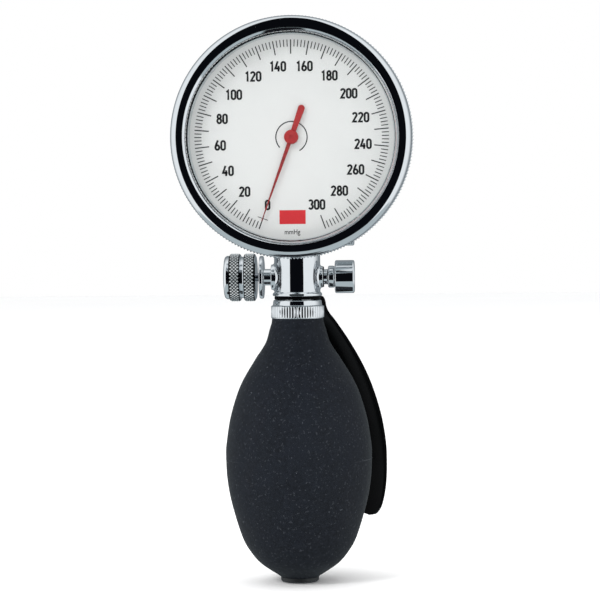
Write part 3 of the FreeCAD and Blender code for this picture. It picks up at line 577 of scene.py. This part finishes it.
piece("knob_knurling", KNURLED_CHROME, "knob_set", make_knurling, ["bleed_knob"], "chrome_plate", crease=10.0,
      even_corners=False)
turned_piece("knob_core", knob_outline(), BLEED, CHROME, "knob_set", steps=160, replaces=["bleed_knob"],
             slot="chrome_plate")
turned_piece(
    "knob_dome",
    eased((0, 20.0), (5.1, 20.0), (5.1, 20.6), (6.6, 20.6), (6.6, 21.95, 1.0), (4.2, 22.24, 3.0), (0, 22.3)),
    BLEED, CHROME, "knob_set", steps=160, closed=False, replaces=["knob_cap"], slot="chrome_plate")

NUT = 8.05
NUT_RIBS = 60
RIB_DEPTH = 0.16
RIBS_LOW, RIBS_HIGH = 41.95, 45.15


def nut_relief(radius, height, share):
    """Fine ribs on the lower part of the nut's wall, under its smooth collar."""
    if radius < NUT - 0.02 or not RIBS_LOW < height < RIBS_HIGH:
        return 0.0
    return -RIB_DEPTH * (0.5 + 0.5 * math.cos(TURN * NUT_RIBS * share)) ** 0.6


turned_piece(
    "ribbed_nut",
    eased((5.0, 41.6), (NUT - 0.1, 41.6, 0.2), (NUT, 41.9), (NUT, 42.1), (NUT, 43.6), (NUT, 45.0), (NUT, 45.3),
          (NUT - 0.55, 45.65, 0.15), (NUT - 0.75, 47.2, 0.45), (5.0, 47.2)),
    UPRIGHT, CHROME, steps=NUT_RIBS * 8, relief=nut_relief, replaces=["ring_nut"], slot="chrome_plate", crease=40.0)


# ---------------------------------------------------------------- bulb, tail valve and palm spoon

BULB_OUTSIDE = [(7.8, 41.6), (7.95, 40.2), (8.55, 38.3), (9.55, 34.8), (10.99, 32.2), (13.14, 29.0), (17.54, 21.4),
                (20.54, 12.4), (21.98, 4.0), (22.2, 0), (21.87, -7.0), (20.54, -14.6), (17.54, -24.6),
                (14.87, -29.5), (11.66, -33.1), (6.5, -36.6), (5.9, -37.1)]


FLASH_HEIGHT = 0.045
FLASH_WIDTH = 0.2


def with_flash(knots, steps):
    """A smooth outline through the knots, with the thin ridge that the mould leaves at its joint."""
    return [(spot.x + FLASH_HEIGHT * math.exp(-((spot.y - MOULD_LINE) / FLASH_WIDTH) ** 2), spot.y)
            for spot in flowing(knots, steps)]


def bulb_outline():
    outside = with_flash(BULB_OUTSIDE, 14)
    fine = with_flash([(22.19, -0.2), (22.195, -1.0), (22.17, -1.8)], 8)
    above = [spot for spot in outside if spot[1] > -0.1]
    below = [spot for spot in outside if spot[1] < -1.9]
    inner = [(4.6, 41.6), (4.6, 33.0), (8.5, 31.5), (15.0, 21.4), (18.4, 12.4), (20.0, 0), (18.4, -14.6),
             (15.2, -24.6), (8.0, -33.0), (4.5, -34.2), (4.5, -37.1)]
    return above + fine + below + inner[::-1]


turned_piece("rubber_bulb", bulb_outline(), UPRIGHT, BULB_RUBBER, steps=192, replaces=["bulb"], slot="bulb_rubber",
             crease=50.0, even_corners=False)
turned_piece(
    "tail_plug",
    eased((1.5, -37.6), (3.0, -37.6), (3.0, -38.5, 0.15), (5.8, -38.5, 0.5), (5.8, -37.1, 0.1), (4.5, -37.1),
          (4.5, -30.5), (3.4, -30.5), (3.4, -33.5), (1.5, -33.5)),
    UPRIGHT, PLUG_PLASTIC, steps=96, replaces=["inlet_valve_body"], slot="black_plastic")

SPOON_TURN = math.radians(45.0)
SPOON_SHEET = 1.1
SPOON_OUTSIDE = [(7.2, 48.3), (8.6, 48.0), (9.4, 46.6), (9.75, 44.9), (10.8, 43.0), (13.6, 39.6), (18.8, 31.0),
                 (23.4, 21.6), (26.6, 11.9), (28.2, 3.0), (28.8, -4.0), (29.5, -12.2), (30.3, -21.0)]
SPOON_HALF_WIDTH = [(2.6, 50.0), (2.7, 45.0), (3.6, 40.0), (6.0, 34.0), (8.8, 25.0), (10.9, 10.0), (11.2, 0.0),
                    (9.6, -9.0), (6.2, -16.6), (2.8, -20.2), (0.0, -21.0)]


def half_width(height):
    """Half the leaf's width at that height, read off its smooth edge."""
    edge = flowing(SPOON_HALF_WIDTH, 24)
    for upper, lower in zip(edge, edge[1:]):
        if lower.y <= height <= upper.y:
            share = (upper.y - height) / max(upper.y - lower.y, 1e-9)
            return upper.x + (lower.x - upper.x) * share
    return 0.0


def make_spoon_leaf(bm):
    """The pressed leaf: a curved strip round the bulb's back, narrow at the arm and round at its end."""
    line = flowing(SPOON_OUTSIDE, 12)
    columns = 36
    rings = []
    for index, spot in enumerate(line):
        ahead = line[min(index + 1, len(line) - 1)]
        behind = line[max(index - 1, 0)]
        run = (ahead - behind).normalized()
        middle_line = spot + Vector((run.y, -run.x)) * SPOON_SHEET / 2
        width = max(half_width(spot.y), 0.02)
        row = []
        for column in range(columns + 1):
            sideways = width * math.sin(math.pi * (column / columns - 0.5))
            angle = math.asin(max(-1.0, min(1.0, sideways / middle_line.x)))
            turned_to = SPOON_TURN + angle
            row.append(bm.verts.new((middle_line.x * math.cos(turned_to), middle_line.x * math.sin(turned_to),
                                     middle_line.y)))
        rings.append(row)
    for one, other in zip(rings, rings[1:]):
        for column in range(columns):
            bm.faces.new((one[column], one[column + 1], other[column + 1], other[column]))


leaf = piece("spoon_leaf", ENAMEL, "spoon", make_spoon_leaf, ["palm_spoon"], "black_enamel", crease=60.0,
             even_corners=False)
thickness = leaf.modifiers.new("sheet", "SOLIDIFY")
thickness.thickness = SPOON_SHEET * MM
thickness.offset = 0.0
thickness.use_even_offset = True
rounding = leaf.modifiers.new("rounded_edge", "BEVEL")
rounding.width = 0.42 * MM
rounding.segments = 3
rounding.limit_method = "ANGLE"
rounding.angle_limit = math.radians(50)

turned_piece("spoon_eye", eased((5.3, 47.3, 0.1), (7.0, 47.3, 0.2), (7.0, 48.3, 0.2), (5.3, 48.3, 0.1)), UPRIGHT,
             ENAMEL, "spoon", replaces=["palm_spoon"], slot="black_enamel")


# ---------------------------------------------------------------- gauge

BEZEL = 35.3
GRIP = 35.8
GRIP_TEETH = 222
GRIP_DEPTH = 0.42


def grip_relief(radius, height, share):
    """A coin edge on the grip band."""
    if radius < GRIP - 0.03:
        return 0.0
    return -GRIP_DEPTH * (0.5 - 0.5 * math.cos(TURN * GRIP_TEETH * share)) ** 0.8


turned_piece(
    "gauge_shell",
    eased((3.0, 8.0), (33.0, 8.0, 4.0), (33.0, 24.6), (31.3, 24.6), (31.3, 9.5, 2.0), (3.0, 9.5), steps=12),
    GAUGE, CHROME, steps=256, replaces=["gauge_case"], slot="chrome_plate")
turned_piece(
    "front_rim",
    eased((33.0, 20.8), (35.3, 20.8, 0.1), (35.45, 21.0), (GRIP, 21.2), (GRIP, 22.4), (GRIP, 23.6), (35.42, 23.85),
          (BEZEL, 24.2, 0.2), (BEZEL, 29.5, 2.3), (31.56, 29.5, 0.08), (30.68, 28.55, 0.12), (30.6, 28.0),
          (33.0, 28.0)),
    GAUGE, CHROME, steps=GRIP_TEETH * 4, relief=grip_relief, replaces=["bezel"], slot="chrome_plate", crease=24.0)
turned_piece("crystal_pane", eased((0, 26.2), (32.95, 26.2, 0.1), (32.95, 28.0, 0.1), (0, 28.0)), GAUGE, CRYSTAL,
             steps=192, closed=False, replaces=["crystal"], slot="crystal_glass")
turned_piece("satin_ring", eased((30.0, 23.1), (31.2, 23.1), (31.2, 25.4, 0.1), (30.25, 25.4, 0.25)), GAUGE,
             SATIN_CHROME, steps=256, replaces=["dial_ring"], slot="bright_steel")
turned_piece("dial_plate", eased((0.9, 22.6), (31.1, 22.6, 0.05), (31.1, 23.1, 0.05), (0.9, 23.1)), GAUGE,
             DIAL_WHITE, steps=192, replaces=["dial"], slot="dial_paint")

DIAL_FACE = 23.1
INK = 0.02
SCALE_RIM, TEN_FOOT, TWO_FOOT = 28.6, 24.4, 26.5
TEN_LINE, TWO_LINE = 0.34, 0.28
FIGURES_REACH = 21.1
ZERO_TURN = 20.0
DEGREES_PER_UNIT = 320.0 / 300.0


def scale_direction(pressure):
    """The direction on the dial of a reading: 0 stands left of straight down, and readings run clockwise."""
    angle = math.radians(ZERO_TURN + DEGREES_PER_UNIT * pressure)
    return Vector((-math.sin(angle), -math.cos(angle)))


def stroke(bm, start, end, width):
    """A printed line on the dial."""
    aside = (end - start).normalized().orthogonal() * width / 2
    slab(bm, [tuple(start + aside), tuple(end + aside), tuple(end - aside), tuple(start - aside)],
         DIAL_FACE - 0.01, DIAL_FACE + INK)


def make_scale(bm):
    for reading in range(0, 301, 2):
        way = scale_direction(reading)
        ten = reading % 10 == 0
        stroke(bm, way * SCALE_RIM, way * (TEN_FOOT if ten else TWO_FOOT), TEN_LINE if ten else TWO_LINE)


def arc(across, up, wide, tall, start, end, steps=14):
    """Points on part of an ellipse, its angles in degrees anticlockwise from the right."""
    turns = [math.radians(start + (end - start) * step / steps) for step in range(steps + 1)]
    return [(across + wide * math.cos(angle), up + tall * math.sin(angle)) for angle in turns]


# Pen paths of the figures, each one unit tall about its middle.
FIGURES = {
    "0": [arc(0, 0.24, 0.18, 0.18, 0, 180) + arc(0, -0.24, 0.18, 0.18, 180, 360) + [(0.18, 0.24)]],
    "1": [[(-0.12, 0.27), (0.06, 0.42), (0.06, -0.5)]],
    "2": [arc(0, 0.23, 0.18, 0.19, 172, -38) + [(-0.17, -0.42), (0.21, -0.42)]],
    "3": [arc(0, 0.22, 0.165, 0.2, 155, -90) + arc(0, -0.2, 0.185, 0.22, 90, -155)],
    "4": [[(0.03, 0.5), (-0.21, -0.2), (0.24, -0.2)], [(0.1, 0.06), (0.1, -0.5)]],
    "6": [arc(0, -0.2, 0.185, 0.22, 0, 360), [(-0.175, -0.13), (-0.09, 0.16), (0.06, 0.5)]],
    "8": [arc(0, 0.22, 0.155, 0.2, 0, 360), arc(0, -0.2, 0.185, 0.22, 0, 360)],
}
FIGURE_HEIGHT = 3.0
FIGURE_STEP = 1.72
PEN = 0.6


def draw(bm, path, width):
    """A pen stroke of even width along the path, printed on the dial."""
    path = [Vector(spot) for spot in path]
    looped = (path[0] - path[-1]).length < 1e-6
    sides = []
    for index, spot in enumerate(path):
        before = path[index - 1] if index else (path[-2] if looped else spot)
        after = path[index + 1] if index + 1 < len(path) else (path[1] if looped else spot)
        runs = [run.normalized() for run in (spot - before, after - spot) if run.length > 1e-9]
        along = sum(runs, Vector((0, 0))).normalized()
        reach = width / 2 / max(abs(along.dot(runs[0])), 0.55)
        aside = Vector((-along.y, along.x)) * reach
        sides.append([bm.verts.new(GAUGE @ Vector((*(spot + aside * side), DIAL_FACE + INK))) for side in (1, -1)])
    for one, other in zip(sides, sides[1:]):
        bm.faces.new((one[0], one[1], other[1], other[0]))


def write_number(bm, number, spot):
    figures = str(number)
    for place, figure in enumerate(figures):
        left = (place - (len(figures) - 1) / 2) * FIGURE_STEP
        for path in FIGURES[figure]:
            draw(bm, [(spot.x + left + x * FIGURE_HEIGHT, spot.y + y * FIGURE_HEIGHT) for x, y in path], PEN)


def stamp_unit(bm, spot, height):
    """The unit under the scale, upright and centred on its spot."""
    curve = bpy.data.curves.new("unit", "FONT")
    curve.body = "mmHg"
    curve.align_x = "CENTER"
    curve.align_y = "CENTER"
    curve.offset = 0.012
    curve.extrude = 0.05
    stencil = bpy.data.objects.new("unit", curve)
    bpy.context.scene.collection.objects.link(stencil)
    drawn = bpy.data.meshes.new_from_object(stencil)
    low, high = (pick(v.co.y for v in drawn.vertices) for pick in (min, max))
    grow = height / (high - low)
    drawn.transform(GAUGE @ Matrix.Translation((spot[0], spot[1], DIAL_FACE + INK / 2))
                    @ Matrix.Diagonal((grow * 0.85, grow, INK / 0.1, 1.0))
                    @ Matrix.Translation((0, -(low + high) / 2, 0)))
    bm.from_mesh(drawn)
    bpy.data.objects.remove(stencil)
    bpy.data.curves.remove(curve)
    bpy.data.meshes.remove(drawn)


def make_figures(bm):
    for reading in range(0, 301, 20):
        write_number(bm, reading, scale_direction(reading) * FIGURES_REACH)
    stamp_unit(bm, (0.0, -28.0), 1.9)


def make_zero_mark(bm):
    """The cross bar at zero and the arc under the hub."""
    way = scale_direction(0)
    centre = way * 25.3
    aside = way.orthogonal() * 1.6
    stroke(bm, centre - aside, centre + aside, 0.2)
    steps = 60
    reach, width = 4.6, 0.34
    start, sweep = math.radians(-60), math.radians(281)
    turns = [start + sweep * step / steps for step in range(steps + 1)]
    rim = [(math.cos(angle), math.sin(angle)) for angle in turns]
    outer = [(c * (reach + width / 2), s * (reach + width / 2)) for c, s in rim]
    inner = [(c * (reach - width / 2), s * (reach - width / 2)) for c, s in rim]
    rows = []
    for level in (DIAL_FACE - 0.01, DIAL_FACE + INK):
        rows.append([[bm.verts.new(GAUGE @ Vector((x, y, level))) for x, y in side] for side in (outer, inner)])
    for step in range(steps):
        for first, second in ((rows[1][0], rows[1][1]), (rows[0][0], rows[1][0]), (rows[1][1], rows[0][1]),
                              (rows[0][1], rows[0][0])):
            bm.faces.new((first[step], first[step + 1], second[step + 1], second[step]))


def make_red_block(bm):
    slab(bm, [(-3.75, -25.5), (3.95, -25.5), (3.95, -21.4), (-3.75, -21.4)], DIAL_FACE - 0.01, DIAL_FACE + INK)


for name, finish, build in (("dial_scale", SCALE_INK, make_scale), ("dial_figures", DIAL_INK, make_figures),
                            ("dial_zero_mark", SCALE_INK, make_zero_mark), ("dial_block", DIAL_RED, make_red_block)):
    piece(name, finish, "hand_unit", build, slot="dial_paint", even_corners=False)

POINTER_LOW, POINTER_HIGH = 24.1, 24.4


def aimed(points):
    """Turns points drawn along the pointer, tip at +x, to the zero mark."""
    way = scale_direction(0)
    return [(x * way.x - y * way.y, x * way.y + y * way.x) for x, y in points]


def make_blade(bm):
    slab(bm, aimed([(0.0, -0.62), (26.2, -0.09), (26.2, 0.09), (0.0, 0.62)]), POINTER_LOW, POINTER_HIGH, ease=0.06)


def make_tail(bm):
    half = 1.0
    end = [(-9.9 + half + half * math.cos(angle), half * math.sin(angle))
           for angle in (math.pi / 2 + math.pi * step / 16 for step in range(17))]
    slab(bm, aimed([(0.0, -0.66), (0.0, 0.66)] + end), POINTER_LOW - 0.01, POINTER_HIGH + 0.02, ease=0.1)


piece("pointer_blade", POINTER_DARK, "pointer_set", make_blade, ["pointer"], "pointer_red", even_corners=False)
piece("pointer_tail", POINTER_RED, "pointer_set", make_tail, ["pointer"], "pointer_red", even_corners=False)
turned_piece(
    "pointer_boss", eased((0, 24.3), (2.1, 24.3), (2.1, 25.2, 0.35), (0.55, 25.2, 0.08), (0.5, 25.08), (0, 25.08)),
    GAUGE, POINTER_RED, "pointer_set", steps=72, closed=False, replaces=["pointer_hub"], slot="pointer_red")


# ---------------------------------------------------------------- the nodes that stay as they are

FINISH_OF_SLOT = {
    "chrome_plate": CHROME, "bright_steel": STEEL, "movement_brass": BRASS, "movement_steel": SPRING_STEEL,
    "bulb_rubber": BULB_RUBBER, "seal_rubber": SEAL_RUBBER, "black_enamel": ENAMEL, "crystal_glass": CRYSTAL,
    "dial_paint": DIAL_WHITE, "pointer_red": POINTER_RED, "black_plastic": PLUG_PLASTIC,
}
for subpart in frame["record"]["subparts"]:
    node = frame["nodes"][subpart["node"]]
    if node.hide_render:
        continue
    finish = MESH_BRASS if subpart["node"] == "inlet_filter" else FINISH_OF_SLOT[subpart["material_slot"]]
    for place in node.material_slots:
        place.material = finish


# ---------------------------------------------------------------- floor, studio and camera

FLOOR_HALF_SIZE = 3.2
FLOOR_GAP = 0.0002
FRONT_HALF_ANGLE = math.radians(34)


def studio_world():
    """An even white room. Reflections see more of it: a dark front, a grey-blue table edge and a greyer back."""
    world = bpy.data.worlds.new("studio")
    f = Finish(world)
    way = f.node("ShaderNodeTexCoord", out="Generated")
    x, y, z = (f.node("ShaderNodeSeparateXYZ", inputs={"Vector": way}, out=axis) for axis in "XYZ")
    aside = x.size() + y * math.tan(FRONT_HALF_ANGLE)
    front = (1 - f.fade(aside, -0.02, 0.02)) * f.fade(z, -0.58, -0.54) * (1 - f.fade(z, 0.985, 0.993))
    walls = f.mix(f.fade(y, -0.05, 0.9), (0.9, 0.94, 0.965), (0.2, 0.23, 0.25))
    table = f.mix(1 - f.fade(z, -0.985, -0.97), (0.45, 0.52, 0.55), (0.01, 0.011, 0.013))
    room = f.mix(1 - f.fade(z, -0.58, -0.54), walls, table)
    seen = f.mix(front, room, (0.003, 0.0035, 0.005))
    soft_ray = f.node("ShaderNodeLightPath", out="Is Diffuse Ray")
    camera_ray = f.node("ShaderNodeLightPath", out="Is Camera Ray")
    colour = f.mix(camera_ray, f.mix(soft_ray, seen, (1.08, 1.08, 1.08)), (1.0, 1.0, 1.0))
    f.show(f.node("ShaderNodeBackground", inputs={"Color": colour, "Strength": 1.0}))
    return world


def pale_floor():
    f = new_finish("pale_floor")
    cloud = f.noise(3.0, 2.0, 0.5)
    base = f.mix(f.fade(cloud, 0.35, 0.7), (0.96, 0.96, 0.96), (0.95, 0.95, 0.952))
    finish = f.show(f.shade(Base_Color=base, Roughness=0.75, Specular_IOR_Level=0.15))
    bm = bmesh.new()
    bmesh.ops.create_grid(bm, x_segments=12, y_segments=12, size=FLOOR_HALF_SIZE)
    mesh = bpy.data.meshes.new("floor")
    bm.to_mesh(mesh)
    bm.free()
    mesh.materials.append(finish)
    floor = bpy.data.objects.new("floor", mesh)
    floor.location = (0, 0, cad_low[2] - FLOOR_GAP)
    floor.visible_glossy = False
    bpy.context.scene.collection.objects.link(floor)
    return floor


def soft_light(name, spot, aim, size, power, colour=(1, 1, 1)):
    data = bpy.data.lights.new(name, "AREA")
    data.shape = "RECTANGLE"
    data.size, data.size_y = size
    data.energy = power
    data.color = colour
    light = bpy.data.objects.new(name, data)
    light.location = spot
    light.rotation_euler = (Vector(aim) - Vector(spot)).to_track_quat("-Z", "Y").to_euler()
    light.visible_glossy = False
    bpy.context.scene.collection.objects.link(light)
    return light


scene = bpy.context.scene
scene.view_settings.view_transform = "Standard"
scene.world = studio_world()
gauge_spot = (0, 0, gauge_up * MM)
lights = [
    soft_light("key", (-0.75, -0.95, 0.95), gauge_spot, (0.35, 0.35), 9),
    soft_light("front_fill", (0.15, -1.6, 0.35), (0, 0, 0.05), (1.2, 1.0), 5),
    soft_light("overhead", (0, 0.1, 1.5), (0, 0, 0), (1.6, 1.6), 9),
]
pale_floor()

CAMERA_DISTANCE = 0.7
CAMERA_AZIMUTH = math.radians(3.2)
CAMERA_ELEVATION = math.radians(1.7)
CAMERA_ROLL = math.radians(-0.55)
CAMERA_AIM = Vector((0.00076, 0, 0.0471))

lens = bpy.data.cameras.new("camera")
lens.lens = 138.2
lens.sensor_width = 36.0
lens.clip_start = 0.02
lens.clip_end = 20.0
camera = bpy.data.objects.new("camera", lens)
backwards = Vector((math.sin(CAMERA_AZIMUTH) * math.cos(CAMERA_ELEVATION),
                    -math.cos(CAMERA_AZIMUTH) * math.cos(CAMERA_ELEVATION), math.sin(CAMERA_ELEVATION)))
aim = backwards.to_track_quat("Z", "Y").to_matrix().to_4x4()
camera.matrix_world = (Matrix.Translation(CAMERA_AIM + backwards * CAMERA_DISTANCE) @ aim
                       @ Matrix.Rotation(CAMERA_ROLL, 4, "Z"))
scene.collection.objects.link(camera)
scene.camera = camera
